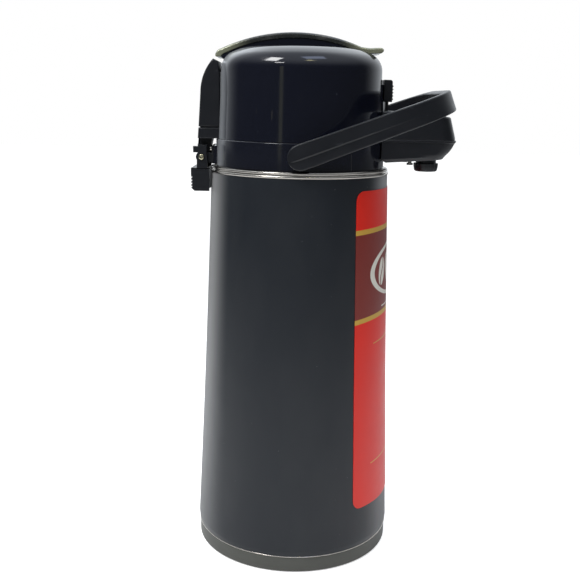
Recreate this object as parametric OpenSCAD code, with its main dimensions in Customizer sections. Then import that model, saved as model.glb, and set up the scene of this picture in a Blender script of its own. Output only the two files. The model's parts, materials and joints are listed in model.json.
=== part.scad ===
// Lever-pump thermal airpot: a glass-lined steel flask with a hinged pump lid, a front spout
// and a swinging bail handle.
// +X points at the spout, +Z up; the origin is the centre of the foot ring on the table.

/* [Body] */
// Radius of the steel shell at its top edge
shell_top_r = 75; // [74.6:0.1:75.4]
// Radius of the steel shell at its widest, just above the base
shell_low_r = 86; // [85:0.1:86.5]
// Height of the shell's top edge
shell_top_z = 330; // [329:0.5:330.5]
// Height of the seam between the shell and the base ring
base_seam_z = 15; // [12:0.5:18]
// Thickness of the shell's steel
shell_t = 0.8; // [0.6:0.1:1]
// Radius of the base ring
base_r = 85.1; // [84.6:0.1:85.3]

/* [Liner] */
// Outside radius of the glass liner
liner_r = 68; // [66:0.5:70]
// Inside radius of the liner's mouth
mouth_r = 27; // [26:0.5:28]
// Thickness of each glass wall
glass_t = 1.5; // [1.2:0.1:1.8]
// Gap between the two glass walls
vacuum_gap = 2.5; // [2:0.1:3]

/* [Collar and spout] */
// Outside radius of the collar under the lid
collar_r = 71.2; // [70.8:0.1:71.5]
// Height of the collar's rim, where the lid closes
collar_top_z = 357.4; // [357:0.1:357.6]
// Distance from the axis to the tip of the spout
spout_tip_x = 130; // [128:0.5:133]
// Half the width of the spout at the collar
spout_root_y = 27; // [25:0.5:28]
// Half the width of the spout near its tip
spout_tip_y = 23; // [22:0.5:24]
// Distance from the axis to the centre of the nozzle
nozzle_x = 108; // [105:0.1:108.5]

/* [Lid] */
// Outside radius of the lid's dome at its foot
lid_r = 70.4; // [70:0.1:70.5]
// Height of the dome's crest
lid_top_z = 432.3; // [432:0.1:432.8]
// Wall thickness of the dome
lid_t = 2.6; // [2.4:0.1:2.8]
// Half the width of the strap that the lever and the rear spine make
strap_y = 20; // [19.5:0.5:20.5]
// Height of the lever's crown, the top of the whole airpot
total_h = 445; // [444:0.1:446]

/* [Bail handle] */
// Height of the bail's pivots
bail_z = 347.2; // [346:0.1:347.8]
// Slope of the resting bail above level
bail_rest = 20.6; // [20:0.1:21]
// Distance from the pivots to the bail's outer face
bail_reach = 129.5; // [128:0.5:132]
// Half the depth of the bail's arms at the pivots
bail_arm = 10.2; // [10:0.1:10.6]

/* [Hinge] */
// Distance behind the axis of the hinge pin
hinge_back = 82.1; // [81.9:0.1:82.4]
// Height of the hinge pin
hinge_z = 342.4; // [342.2:0.1:342.6]

/* [Hidden] */
$fn = 96;
hull_fn = 32;
screw_r = 1.5;
slack = 0.3;      // space between parts that move past each other
run = 0.05;       // radial running clearance of a pin
big = 400;        // longer than anything that it cuts

// shell
hem_z = base_seam_z + 5;
bead_h = 1;
bulge = 0.06;

// base
floor_z = 5;
floor_t = 3;
foot_z = 0.6;      // the base's rim stands this far off the table
port_r = 22;       // opening that the liner's plug turns into
foot_w = 7;        // width of the rubber foot

// liner
liner_foot_z = 34;
liner_wall_z = liner_foot_z + 28;
liner_shoulder_z = 286;
neck_z = 308;
lip_z = 318;
inner_inset = glass_t + vacuum_gap;
neck_r = mouth_r + glass_t + inner_inset;
tube_x = 15;
tube_r = 4;

// trim ring and collar
collar_low_z = shell_top_z + 6;
collar_t = 3;
gasket_z = lip_z + 2;
mouth_top_z = 354.8;
mouth_out_r = 33.5;
pipe_z = 348.5;
pipe_r = 5.2;

// spout
spout_root_x = 71.2;
split_z = 359.6;
spout_top_z = 384;
spout_nose_z = 379.4;
spout_low_root_z = 339.4;
spout_low_tip_z = 342.6;
spout_t = 2.2;
flange = 1;
nozzle_r = 10.6;
nozzle_bore = 6;
nozzle_low_z = 332.7;
nozzle_skirt = 7;
nozzle_depth = 20.3;
pipe_t = 1.6;

// lid
lid_low_z = collar_top_z + 0.4;
lid_draft = 1.4;   // how much narrower the dome is at the top of its wall
shoulder_r = 15;   // the dome's shoulder, and the flatter roof that it runs into
roof_r = 40;
roof_angle = 60;
base_plate_z = lid_low_z;
base_plate_t = 3;
bellows_low_z = base_plate_z + base_plate_t;
bellows_top_z = 396;
plunger_top_z = 421.6;
plunger_r = 12;
channel_y = strap_y + 1.4;
channel_t = 2.6;
channel_z = 410.8;
channel_slope = 3.34;
spine_x = -42.5;
spine_z = 395;
groove_z = 366.4;
spine_r = 40.5;

// lever
lever_pin_x = -54;
lever_pin_z = 416.5;
lever_pin_r = 2.2;
lever_boss_r = 4.6;
crown_x = -5;
arch_r = 143;
crown_rise = 1.1;
arch_z = total_h - crown_rise - arch_r;
trim_t = 4.6;
lip_x = 48;
front_angle = acos((lip_x - crown_x) / arch_r);
rear_angle = 115.3;
lip_tip_x = 66.4;
lever_lip_z = 431.2;
skirt_t = 2.6;
pad_h = 13.2;      // web that carries the pad up to the arm

// latch
latch_x = 70.4;
latch_t = 2.6;
latch_pin_x = 73.4;
latch_pin_z = 371;
latch_pin_r = 1.6;
catch_z = 380;
tooth_y = 6;
latch_y = 9;
latch_low_z = 369;
latch_head_z = 390;
latch_top_z = 408;

// bail
bail_in_y = 77.2;
bail_t = 4.6;
bail_nose = 8.3;
bail_corner_y = 38;
bail_corner_r = 40;
stud_r = 5;
shank_r = 3.5;
boss_r = 8.6;
stud_end_y = 80.4;

// hinge
pin_r = 2.4;
knuckle_r = 4.7;
knuckle_y = 10;
ear_y = 15.8;
cheek_y = 19.6;
pin_end_y = 21;
hinge_screw_z = 349.2;
pad_x = 72.1;
tab_top_z = 333;
tab_low_z = 314;

// label
label_half = 53;
label_low_z = 49.5;
label_top_z = 320;
label_t = 0.5;
label_corner = 8;
glue = 0.03;       // keeps glued faces from overlapping

black = [0.13, 0.14, 0.16];
satin = [0.22, 0.23, 0.25];
steel = [0.78, 0.77, 0.74];
red = [0.78, 0.16, 0.12];
glassy = [0.75, 0.85, 0.88];
rubbery = [0.25, 0.25, 0.25];
silicone = [0.86, 0.84, 0.8];

// Points of an arc about (x, y), from angle a to angle b
function arc(x, y, r, a, b, n = 12) =
    [for (i = [0:n]) let (t = a + (b - a) * i / n) [x + r * cos(t), y + r * sin(t)]];

// The shell's radius at a height, a flare with a slight swell
function shell_r(z) =
    let (t = (z - hem_z) / (shell_top_z - hem_z))
    shell_low_r - (shell_low_r - shell_top_r) * (t + bulge * sin(180 * t));

// The shell's outline between two heights, grown outward
function flare(low, high, grow, n = 14) =
    [for (i = [0:n]) let (z = low + (high - low) * i / n) [shell_r(z) + grow, z]];

function flip(points) = [for (i = [len(points) - 1:-1:0]) points[i]];

module revolve(points) rotate_extrude() polygon(points);

// A ring or disc between two radii and two heights
module ring(out_r, in_r, low, high)
    translate([0, 0, low]) difference() {
        cylinder(r = out_r, h = high - low);
        if (in_r > 0) translate([0, 0, -1]) cylinder(r = in_r, h = high - low + 2);
    }

// Extrudes an outline drawn in X and Z from one Y to another
module side_cut(low_y, high_y)
    translate([0, high_y, 0]) rotate([90, 0, 0]) linear_extrude(high_y - low_y) children();

// A cylinder along Y at a place in X and Z
module cross_pin(x, z, r, low_y, high_y)
    translate([x, high_y, z]) rotate([90, 0, 0]) cylinder(r = r, h = high_y - low_y);

module on_both_sides() {
    children();
    mirror([0, 1, 0]) children();
}

// Countersunk screw pointing down, its head at the origin
module screw(r, length) {
    translate([0, 0, -length]) cylinder(r = r, h = length);
    translate([0, 0, -r]) cylinder(r1 = r, r2 = 2 * r, h = r);
}

// ---------------------------------------------------------------- body

module shell() color(black) revolve(concat(
    [[shell_r(base_seam_z) - 0.9 - shell_t, base_seam_z],
     [shell_r(base_seam_z) - 0.9, base_seam_z],
     [shell_r(hem_z) - 0.25, base_seam_z + 2.6]],
    flare(hem_z, shell_top_z, 0),
    flip(flare(hem_z, shell_top_z, -shell_t))
));

module bottom_trim_ring() color(steel)
    ring(shell_r(base_seam_z) - 0.7, base_r - 3, base_seam_z - bead_h, base_seam_z);

module base_cover() color(satin) {
    seam = base_seam_z - bead_h;
    recess_r = base_r - 7.7;
    wall_r = base_r - 4.7;
    difference() {
        revolve([
            [0, floor_z], [recess_r, floor_z], [recess_r + 0.4, foot_z], [base_r - 1.2, foot_z],
            [base_r, foot_z + 1.2], [base_r, seam], [wall_r, seam], [wall_r, floor_z + floor_t],
            [0, floor_z + floor_t]
        ]);
        translate([0, 0, -1]) cylinder(r = port_r, h = big);
    }
}

module foot_ring() color(rubbery) ring(base_r - 8, base_r - 8 - foot_w, 0, floor_z);

module liner_support() color(satin) {
    ring(36, 0, floor_z + floor_t, floor_z + floor_t + 3);
    ring(36, 31, floor_z + floor_t + 3, 24);
    difference() {
        ring(port_r, 0, 3, floor_z + floor_t);
        // coin slot
        translate([-14, -2, 0]) cube([28, 4, 5]);
    }
}

module liner_cushion() color(rubbery) ring(30.5, 9, floor_z + floor_t + 3, liner_foot_z);

// Half the outline of a glass bottle, inset from the liner's outer surface
function glass_outline(inset) = concat(
    [[0, liner_foot_z + inset]],
    arc(liner_r - 28, liner_wall_z, 28 - inset, -90, 0),
    arc(liner_r - 22, liner_shoulder_z, 22 - inset, 0, 72),
    [[neck_r - inset, neck_z - inset], [neck_r - inset, lip_z], [0, lip_z]]
);

module liner_outer_glass() color(glassy, 0.5) difference() {
    revolve(glass_outline(0));
    revolve(glass_outline(glass_t));
    translate([0, 0, lip_z - 1]) cylinder(r = neck_r - glass_t, h = 2);
}

module liner_inner_glass() color(glassy, 0.5) difference() {
    union() {
        difference() {
            revolve(glass_outline(inner_inset));
            revolve(glass_outline(inner_inset + glass_t));
            translate([0, 0, lip_z - 1])
                cylinder(r = neck_r - inner_inset - glass_t, h = 2);
        }
        ring(neck_r, neck_r - inner_inset - glass_t, lip_z, lip_z + 0.6);
    }
    translate([0, 0, lip_z - 30]) cylinder(r = neck_r - inner_inset - glass_t, h = 31);
}

module neck_gasket() color(silicone) ring(34, mouth_r, lip_z + 0.6, gasket_z + 1.6);

module top_trim_ring() color(steel) {
    r = shell_top_r;
    z = shell_top_z;
    revolve([
        [r - shell_t - 1.2, z - 3], [r - shell_t, z - 3], [r - shell_t, z], [r + 0.3, z],
        [r + 0.8, z + 0.7], [r + 0.8, z + 2], [r + 0.3, z + 2.6], [r - 0.3, z + 2.9],
        [r + 0.1, z + 3.3], [r + 0.4, z + 4], [r + 0.4, z + 5], [r - 0.2, z + 5.7],
        [r - 1, z + 6], [r - 8, z + 6], [r - 8, z + 4.8], [r - 2, z + 4.8]
    ]);
}

// The collar: outer wall, sloped gutter and the mouth tube that the lid seals on
module collar() color(black) difference() {
    union() {
        revolve([
            [collar_r - collar_t, collar_low_z], [collar_r, collar_low_z],
            [collar_r, collar_top_z - 0.6], [collar_r - 0.6, collar_top_z],
            [collar_r - collar_t, collar_top_z]
        ]);
        revolve([
            [mouth_r + 1, gasket_z + 1.6], [mouth_out_r, gasket_z + 1.6],
            [mouth_out_r, collar_low_z], [collar_r - collar_t, collar_low_z],
            [collar_r - collar_t, collar_low_z + 4], [mouth_out_r, collar_low_z + 2.4],
            [mouth_out_r, mouth_top_z], [mouth_r + 2.5, mouth_top_z], [mouth_r + 1, mouth_top_z - 3]
        ]);
        on_both_sides() bail_boss();
        // pad that the hinge bracket screws to
        side_cut(-ear_y, ear_y) translate([-pad_x, collar_low_z + 0.8]) square([6, 15]);
    }
    pipe_bore();
    hinge_screw_holes();
    on_both_sides() cross_pin(0, bail_z, shank_r, collar_r - 4, bail_in_y);
}

module bail_boss() cross_pin(0, bail_z, boss_r, collar_r - 3, bail_in_y - slack);

// The way that the coffee takes through the mouth tube and the collar's wall
module pipe_bore()
    translate([mouth_r - 2, 0, pipe_z]) rotate([0, 90, 0]) cylinder(r = pipe_r, h = 60);

module label() color(red) intersection() {
    rotate([0, 0, -label_half]) rotate_extrude(angle = 2 * label_half) polygon(concat(
        flare(label_low_z, label_top_z, label_t), flip(flare(label_low_z, label_top_z, glue))
    ));
    rotate([90, 0, 90]) linear_extrude(big) hull()
        for (s = [-1, 1], z = [label_low_z + label_corner, label_top_z - label_corner])
            translate([s * (shell_r(z) * sin(label_half) - label_corner), z])
                circle(r = label_corner, $fn = hull_fn);
}

// ---------------------------------------------------------------- spout

// The spout in plan, from inside the collar's wall to its rounded tip
module spout_plan(inset, tip) {
    tip_r = 14;
    hull() {
        translate([spout_root_x - 20, -spout_root_y + inset]) square([20, 2 * (spout_root_y - inset)]);
        for (s = [-1, 1]) translate([tip - tip_r, s * (spout_tip_y - tip_r)])
            circle(r = tip_r - inset, $fn = hull_fn);
    }
}

module outside_collar(gap)
    difference() {
        children();
        cylinder(r = collar_r + gap, h = big);
    }

// Side view of the lower cover: a flange at the split, a raked chin and a sloping floor
module lower_side(inset) {
    top = split_z + (inset > 0 ? 1 : 0);
    polygon([
        [40, spout_low_root_z + inset], [spout_tip_x - 28, spout_low_tip_z - 0.8 + inset],
        [spout_tip_x - 11 - inset, spout_low_tip_z + inset],
        [spout_tip_x - 6 - inset, spout_low_tip_z + 2.4 + inset],
        [spout_tip_x - 1.6 - inset, spout_low_tip_z + 8 + inset],
        [spout_tip_x + flange - inset, split_z - 1.6], [spout_tip_x + flange - inset, top], [40, top]
    ]);
}

// Side view of the upper cover: a raked front and a roof that falls a little to the tip
module upper_side(inset) {
    low = split_z - (inset > 0 ? 1 : 0);
    polygon([
        [40, low], [spout_tip_x - inset, low],
        [spout_tip_x - inset, split_z + 2], [spout_tip_x - 4 - inset, spout_nose_z - 2 - inset],
        [spout_tip_x - 6 - inset, spout_nose_z - inset], [96, spout_top_z - 1.5 - inset],
        [40, spout_top_z - inset]
    ]);
}

module spout_lower_cover() color(satin) difference() {
    outside_collar(0) intersection() {
        side_cut(-big, big) lower_side(0);
        linear_extrude(big) spout_plan(0, spout_tip_x + flange);
    }
    intersection() {
        side_cut(-big, big) lower_side(spout_t);
        linear_extrude(big) spout_plan(spout_t, spout_tip_x + flange);
    }
    translate([nozzle_x, 0, 300]) cylinder(r = nozzle_r - 2, h = 50);
    // hollow in the floor that the pipe lies in
    translate([spout_root_x, 0, pipe_z]) rotate([0, 90, 0])
        cylinder(r = pipe_r + run, h = nozzle_x - spout_root_x);
    spout_screw_places() cylinder(r = screw_r, h = 30, center = true);
}

module spout_upper_cover() color(satin) difference() {
    union() {
        difference() {
            upper_block(0);
            upper_block(spout_t);
        }
        intersection() {
            upper_block(0);
            union() {
                spout_screw_places() translate([0, 0, 6]) cylinder(r = 3.4, h = 50);
                on_both_sides() side_cut(latch_y + 3.6, latch_y + 6)
                    translate([60, latch_pin_z - 4]) square([18, 20]);
            }
        }
    }
    // the lid's dome comes down behind the cover, and the latch stands in its slot
    translate([0, 0, lid_low_z - 1]) cylinder(r = lid_r + 1.5, h = big);
    translate([60, -latch_y - 1.5, latch_low_z - 4]) cube([20, 2 * latch_y + 3, 60]);
    cross_pin(latch_pin_x, latch_pin_z, latch_pin_r, -latch_y - 5, latch_y + 5);
    spout_screw_places() cylinder(r = screw_r, h = 15.2);
}

module upper_block(inset) outside_collar(0) intersection() {
    side_cut(-big, big) upper_side(inset);
    linear_extrude(big) spout_plan(inset, spout_tip_x);
}

module spout_screw_places()
    for (s = [-1, 1]) translate([92, s * 17, spout_low_tip_z - 2]) children();

module spout_screws() color(steel) spout_screw_places() {
    cylinder(r = screw_r, h = 14);
    translate([0, 0, -1.6]) cylinder(r = 2.6, h = 1.6);
}

module nozzle() color(satin) difference() {
    union() {
        translate([nozzle_x, 0, nozzle_low_z])
            cylinder(r1 = nozzle_r - 0.9, r2 = nozzle_r, h = nozzle_skirt);
        translate([nozzle_x, 0, nozzle_low_z + nozzle_skirt])
            cylinder(r = nozzle_r - 2, h = 16);
    }
    translate([nozzle_x, 0, nozzle_low_z - 10]) cylinder(r = nozzle_bore, h = nozzle_depth + 10);
    translate([nozzle_x - 20, 0, pipe_z]) rotate([0, 90, 0]) cylinder(r = pipe_r - pipe_t, h = 20);
}

// The pipe from the mouth to the nozzle, with the elbow that the dip tube plugs into
module outflow_pipe() color(silicone) difference() {
    union() {
        translate([tube_x, 0, pipe_z]) rotate([0, 90, 0])
            cylinder(r = pipe_r, h = nozzle_x - nozzle_r + 2 - tube_x);
        translate([tube_x, 0, pipe_z - 12]) cylinder(r = pipe_r, h = 12);
        translate([tube_x, 0, pipe_z]) sphere(r = pipe_r);
    }
    translate([tube_x, 0, pipe_z]) rotate([0, 90, 0]) cylinder(r = pipe_r - pipe_t, h = big);
    translate([tube_x, 0, pipe_z - 13]) cylinder(r = pipe_r - 1.2, h = 9);
    translate([tube_x, 0, pipe_z - 13]) cylinder(r = pipe_r - pipe_t, h = 13);
}

module dip_tube() color(glassy) difference() {
    translate([tube_x, 0, liner_foot_z + 12]) cylinder(r = tube_r, h = pipe_z - 4 - liner_foot_z - 12);
    translate([tube_x, 0, 0]) cylinder(r = tube_r - 0.8, h = big);
}

module tube_seal() color(rubbery) translate([tube_x, 0, 0]) ring(tube_r + 2.4, tube_r, 326, pipe_z - 12);

// ---------------------------------------------------------------- hinge

module hinge_bracket() color(satin) difference() {
    on_both_sides() side_cut(knuckle_y + slack, ear_y) {
        translate([-hinge_back, hinge_z]) circle(r = knuckle_r);
        translate([-hinge_back, hinge_z - knuckle_r]) square([hinge_back - pad_x, 8]);
        translate([-pad_x - 2, collar_low_z + 0.8]) square([2, 15]);
    }
    cross_pin(-hinge_back, hinge_z, pin_r, -30, 30);
    hinge_screw_holes();
}

module hinge_screw_holes()
    for (s = [-1, 1]) translate([-pad_x - 8, s * 13, hinge_screw_z]) rotate([0, 90, 0])
        cylinder(r = screw_r, h = 12);

module hinge_screws() color(steel)
    for (s = [-1, 1]) translate([-pad_x - 2, s * 13, hinge_screw_z]) rotate([0, 90, 0]) {
        cylinder(r = screw_r, h = 6);
        translate([0, 0, -1.2]) cylinder(r = 2.3, h = 1.2);
    }

module hinge_pin() color("khaki") cross_pin(-hinge_back, hinge_z, pin_r, -pin_end_y, pin_end_y);

// Side view of the release lever's cheek: lug, boss and neck
module release_side() {
    translate([-hinge_back, hinge_z]) circle(r = knuckle_r);
    translate([-hinge_back - 3, hinge_z]) square([7.5, 10]);
    translate([-hinge_back - 7, hinge_z + 3.6]) square([5, 5.2]);
    translate([-hinge_back - 4, hinge_z - 10]) square([9, 10]);
}

module release_lever() color(satin) difference() {
    union() {
        on_both_sides() side_cut(ear_y + slack, cheek_y) release_side();
        side_cut(-cheek_y, cheek_y) polygon([
            [-hinge_back - 9, tab_top_z], [-shell_top_r, tab_top_z], [-shell_top_r, tab_low_z],
            [-hinge_back - 6, tab_low_z], [-hinge_back - 8.6, tab_low_z + 2.4]
        ]);
    }
    cross_pin(-hinge_back, hinge_z, pin_r + run, -30, 30);
    cylinder(r = shell_top_r + 2.9, h = big);
    // finger grooves across the back of the tab
    for (i = [0:3]) translate([-hinge_back - 10.4, -30, tab_low_z + 2.9 + 2.6 * i]) cube([2.6, 60, 1.1]);
}

// ---------------------------------------------------------------- lid

// Half the outline of the dome, inset from its outer surface
function dome_outline(inset) =
    let (
        x = lid_r - lid_draft - shoulder_r,
        z = lid_top_z - roof_r + (roof_r - shoulder_r) * sin(roof_angle),
        back = shoulder_r - roof_r
    )
    concat(
        [[0, lid_low_z], [lid_r - inset, lid_low_z], [lid_r - 1.2 - inset, z - 24]],
        arc(x, z, shoulder_r - inset, 0, roof_angle),
        arc(x + back * cos(roof_angle), z + back * sin(roof_angle), roof_r - inset, roof_angle, 90, 6),
        [[0, lid_top_z - inset]]
    );

module dome_solid(inset) revolve(dome_outline(inset));

// Everything above the channel's sloping floor, between two half-widths
module channel(half_y, drop)
    side_cut(-half_y, half_y) translate([lever_pin_x, channel_z - drop]) rotate(-channel_slope)
        translate([-60, 0]) square([260, 120]);

module lid_screw_places()
    for (a = [30:60:330]) rotate([0, 0, a]) translate([60, 0, base_plate_z]) children();

module lid_dome() color(black) difference() {
    union() {
        difference() {
            dome_solid(0);
            difference() {
                dome_solid(lid_t);
                channel(channel_y + channel_t, channel_t);
            }
            translate([0, 0, lid_low_z - 1]) cylinder(r = lid_r - lid_t, h = 1 + base_plate_t);
        }
        intersection() {
            dome_solid(0);
            union() {
                on_both_sides()
                    cross_pin(lever_pin_x, lever_pin_z, lever_boss_r, channel_y, channel_y + 5);
                lid_screw_places() translate([0, 0, base_plate_t]) {
                    cylinder(r = 4, h = 13);
                    translate([0, -1.2, 0]) cube([10, 2.4, 13]);
                }
            }
        }
    }
    channel(channel_y, 0);
    translate([0, 0, 400]) cylinder(r = plunger_r + 0.4, h = big);
    cross_pin(lever_pin_x, lever_pin_z, lever_pin_r, -channel_y - 3, channel_y + 3);
    lid_screw_places() cylinder(r = screw_r, h = 11);
    // window that the latch holds the lid by
    translate([lid_r - 6, -tooth_y - 1, catch_z - 1.5]) cube([10, 2 * tooth_y + 2, 5]);
}

// The strap down the back of the dome, with the hinge's knuckle at its foot
module lid_spine() color(satin) difference() {
    union() {
        side_cut(-strap_y, strap_y) polygon(concat(
            [[-50, lid_low_z], [-hinge_back - 3, lid_low_z]],
            arc(spine_x, spine_z, spine_r, 180, 138, 10),
            [[-68.2, 420.4], [-67.4, 414], [-50, 412]]
        ));
        side_cut(-knuckle_y, knuckle_y) {
            translate([-hinge_back, hinge_z]) circle(r = knuckle_r);
            polygon([
                [-hinge_back - knuckle_r, hinge_z], [-hinge_back - 3, lid_low_z + 4],
                [-hinge_back + 9, lid_low_z + 4], [-hinge_back + knuckle_r, hinge_z]
            ]);
        }
    }
    dome_solid(0);
    cross_pin(-hinge_back, hinge_z, pin_r + run, -30, 30);
    // shadow groove round the foot of the strap
    translate([-hinge_back - 4, -30, groove_z]) cube([2.4, 60, 0.9]);
}

module lid_base() color(satin) difference() {
    ring(lid_r - lid_t, 9, base_plate_z, bellows_low_z);
    lid_screw_places() cylinder(r = screw_r, h = 20, center = true);
}

module mouth_seal() color(silicone) ring(mouth_out_r + 1, mouth_r + 3.5, mouth_top_z + 0.05, base_plate_z);

module lid_screws() color(steel) lid_screw_places() {
    cylinder(r = screw_r, h = 10);
    translate([0, 0, -1]) cylinder(r = 2.8, h = 1);
}

// The accordion wall of the air pump
module bellows() color(rubbery) {
    folds = 6;
    low = bellows_low_z + 2;
    step = (bellows_top_z - low) / folds;
    outer = [for (i = [0:folds - 1], k = [0, 1]) [k == 0 ? 33 : 39, low + step * (i + k / 2)]];
    wall = concat(outer, [[33, bellows_top_z]]);
    revolve(concat(wall, flip([for (p = wall) [p[0] - 1.6, p[1]]])));
}

module bellows_ring() color(satin) ring(40, 30, bellows_low_z, bellows_low_z + 2);

// Coil spring inside the bellows, as stacked rings
module pump_spring() color(steel) {
    turns = 6;
    low = bellows_low_z + 1.1;
    pitch = (bellows_top_z - 1.1 - low) / turns;
    for (i = [0:turns]) translate([0, 0, low + i * pitch])
        rotate_extrude() translate([14, 0]) circle(r = 1);
}

module check_valve() color(silicone) ring(11, 0, bellows_low_z, bellows_low_z + 0.9);

module plunger() color(satin) {
    difference() {
        ring(plunger_r, 0, bellows_top_z + 3, plunger_top_z);
        ring(plunger_r - 2.5, 0, bellows_top_z + 2, plunger_top_z - 3);
    }
}

module plunger_plate() color(satin) ring(38, 0, bellows_top_z, bellows_top_z + 3);

// ---------------------------------------------------------------- lever

module lever_pin() color(steel)
    cross_pin(lever_pin_x, lever_pin_z, lever_pin_r, -channel_y - 3, channel_y + 3);

// The arch between two depths under its top surface, as a point list in X and Z
function arch(depth, from, to) = arc(crown_x, arch_z, arch_r - depth, from, to, 20);

// The bright cap: a crowned strip bent along the arch, with a flat lip to press at the front
module lever_trim() color("gray") {
    translate([crown_x, 0, arch_z]) rotate([90, 0, 0]) rotate(front_angle)
        rotate_extrude(angle = rear_angle - front_angle) polygon(concat(
            [[arch_r - trim_t, -strap_y], [arch_r - 1.2, -strap_y]],
            [for (y = [-strap_y + 0.8:2:strap_y - 0.8])
                [arch_r + crown_rise * (1 - pow(y / strap_y, 2)) - 0.2, y]],
            [[arch_r - 1.2, strap_y], [arch_r - trim_t, strap_y]]
        ));
    side_cut(-strap_y, strap_y) polygon(concat(
        arch(0, front_angle + 0.6, front_angle),
        [[lip_x + 8, lever_lip_z + 1.4], [lip_tip_x - 5, lever_lip_z + 2],
         [lip_tip_x - 0.8, lever_lip_z + 1.7], [lip_tip_x, lever_lip_z], [lip_tip_x - 0.8, lever_lip_z - 2], [lip_tip_x - 5, lever_lip_z - 2.8],
         [lip_x + 6, lever_lip_z - 3.2]],
        arch(trim_t, front_angle, front_angle + 0.6)
    ));
    // the rear end turns down to meet the spine
    side_cut(-strap_y, strap_y) polygon(concat(
        arch(trim_t, rear_angle - 0.6, rear_angle),
        [[-66.4, 423.6], [-70.6, 423.6], [-70.8, 425.4], [-69.4, 428]],
        arch(0, rear_angle, rear_angle - 0.6)
    ));
}

// The arm under the cap: two skirts, a web, the pivot bosses and the pad that works the pump
module lever_arm() color(black) difference() {
    union() {
        on_both_sides() side_cut(strap_y - skirt_t - 0.6, strap_y - 0.6) {
            translate([lever_pin_x, lever_pin_z]) circle(r = lever_boss_r);
            polygon(concat(
                [[lip_x + 4, 427.8]],
                arch(trim_t + 2 * glue, front_angle, rear_angle),
                [[-66, 423.6], [lever_pin_x - lever_boss_r, lever_pin_z],
                 [lever_pin_x + lever_boss_r, lever_pin_z], [-44, 426.6], [lip_x, 426.8]]
            ));
        }
        side_cut(-strap_y + 0.6, strap_y - 0.6) polygon(concat(
            arch(trim_t + 2 * glue, front_angle, rear_angle),
            arch(trim_t + 2.4, rear_angle, front_angle)
        ));
        cross_pin(0, plunger_top_z + slack + 4, 4, -8, 8);
        side_cut(-8, 8) translate([-2, plunger_top_z + 4]) square([4, pad_h]);
    }
    cross_pin(lever_pin_x, lever_pin_z, lever_pin_r + run, -30, 30);
}

// ---------------------------------------------------------------- latch and bail

module latch() color(satin) difference() {
    union() {
        side_cut(-latch_y, latch_y) {
            translate([latch_x, latch_low_z]) square([latch_t, latch_top_z - latch_low_z - 6]);
            translate([latch_pin_x, latch_pin_z]) circle(r = 3.1);
        }
        // tooth, standing just clear of the window in the dome
        side_cut(-tooth_y, tooth_y) translate([lid_r - 0.6, catch_z]) square([2, 2]);
        // the thumb piece, hollowed at the back to lie along the dome, with ribs across its front
        difference() {
            side_cut(-latch_y - 2, latch_y + 2) {
                polygon(concat(
                    [[latch_x - 5, latch_head_z], [latch_x + 5.4, latch_head_z]],
                    arc(latch_x + 3.4, latch_top_z - 2, 2, 0, 90, 6),
                    [[latch_x - 5, latch_top_z]]
                ));
                for (i = [0:4]) translate([latch_x + 5.2, latch_head_z + 2.4 + 2.6 * i]) circle(r = 0.9);
            }
            cylinder(r = lid_r - 0.7, h = 2 * big);
        }
    }
    cross_pin(latch_pin_x, latch_pin_z, latch_pin_r + run, -30, 30);
}

module latch_pin() color(steel)
    cross_pin(latch_pin_x, latch_pin_z, latch_pin_r, -latch_y - 5, latch_y + 5);

// Torsion springs wound round the latch's pin, one on each side
module latch_spring() color(steel) on_both_sides()
    for (i = [0:2]) translate([latch_pin_x, latch_y + 0.9 + 0.95 * i, latch_pin_z]) rotate([90, 0, 0])
        rotate_extrude() translate([2.2, 0]) circle(r = 0.4);

module bail_studs() color(satin) on_both_sides() {
    translate([0, 0, bail_z]) rotate([-90, 0, 0]) {
        translate([0, 0, collar_r - 4]) cylinder(r = shank_r, h = bail_in_y - slack - collar_r + 4);
        translate([0, 0, bail_in_y - slack]) cylinder(r = stud_r, h = stud_end_y - bail_in_y + slack);
    }
}

// The bail in plan, drawn in by one inset at its arms and another at its grip
module bail_plan(arm_inset, grip_inset) hull() {
    y = bail_in_y + bail_t - arm_inset;
    translate([-bail_arm - 1, -y]) square([bail_arm + 11, 2 * y]);
    for (s = [-1, 1]) translate([bail_reach - bail_corner_r, s * bail_corner_y])
        circle(r = bail_corner_r - grip_inset, $fn = 2 * hull_fn);
}

// The bail, drawn along its own length and then tipped up to its rest
module bail_handle() color(satin) translate([0, 0, bail_z]) rotate([0, -bail_rest, 0]) difference() {
    intersection() {
        linear_extrude(4 * bail_arm, center = true) difference() {
            bail_plan(0, 0);
            translate([-0.1, 0]) bail_plan(bail_t, 7);
        }
        side_cut(-big, big) polygon(concat(
            arc(0, 0, bail_arm, 90, 270, 16), [[bail_reach, -bail_nose], [bail_reach, bail_nose]]
        ));
    }
    // the lower half of each arm's face lies a little back, which leaves a line along it
    translate([-20, 0, -20 - 1.5]) linear_extrude(20) difference() {
        translate([20, 0]) square([400, 400], center = true);
        translate([20, 0]) bail_plan(0.9, 0.9);
    }
    cross_pin(0, 0, stud_r + run, -stud_end_y - 0.2, stud_end_y + 0.2);
}

shell();
top_trim_ring();
bottom_trim_ring();
base_cover();
foot_ring();
liner_support();
liner_cushion();
liner_outer_glass();
liner_inner_glass();
neck_gasket();
collar();
spout_lower_cover();
spout_upper_cover();
spout_screws();
nozzle();
outflow_pipe();
dip_tube();
tube_seal();
label();
hinge_bracket();
hinge_screws();
hinge_pin();
bail_studs();
lid_dome();
lid_spine();
lid_base();
mouth_seal();
lid_screws();
bellows();
bellows_ring();
pump_spring();
check_valve();
lever_pin();
lever_arm();
lever_trim();
plunger();
plunger_plate();
latch();
latch_pin();
latch_spring();
release_lever();
bail_handle();
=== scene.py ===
"""Looks of the lever-pump airpot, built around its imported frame.

The frame is in metres. Lengths written here are in millimetres and pass through MM.
"""

import json
import math

import bmesh
import bpy
from mathutils import Matrix, Vector


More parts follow.
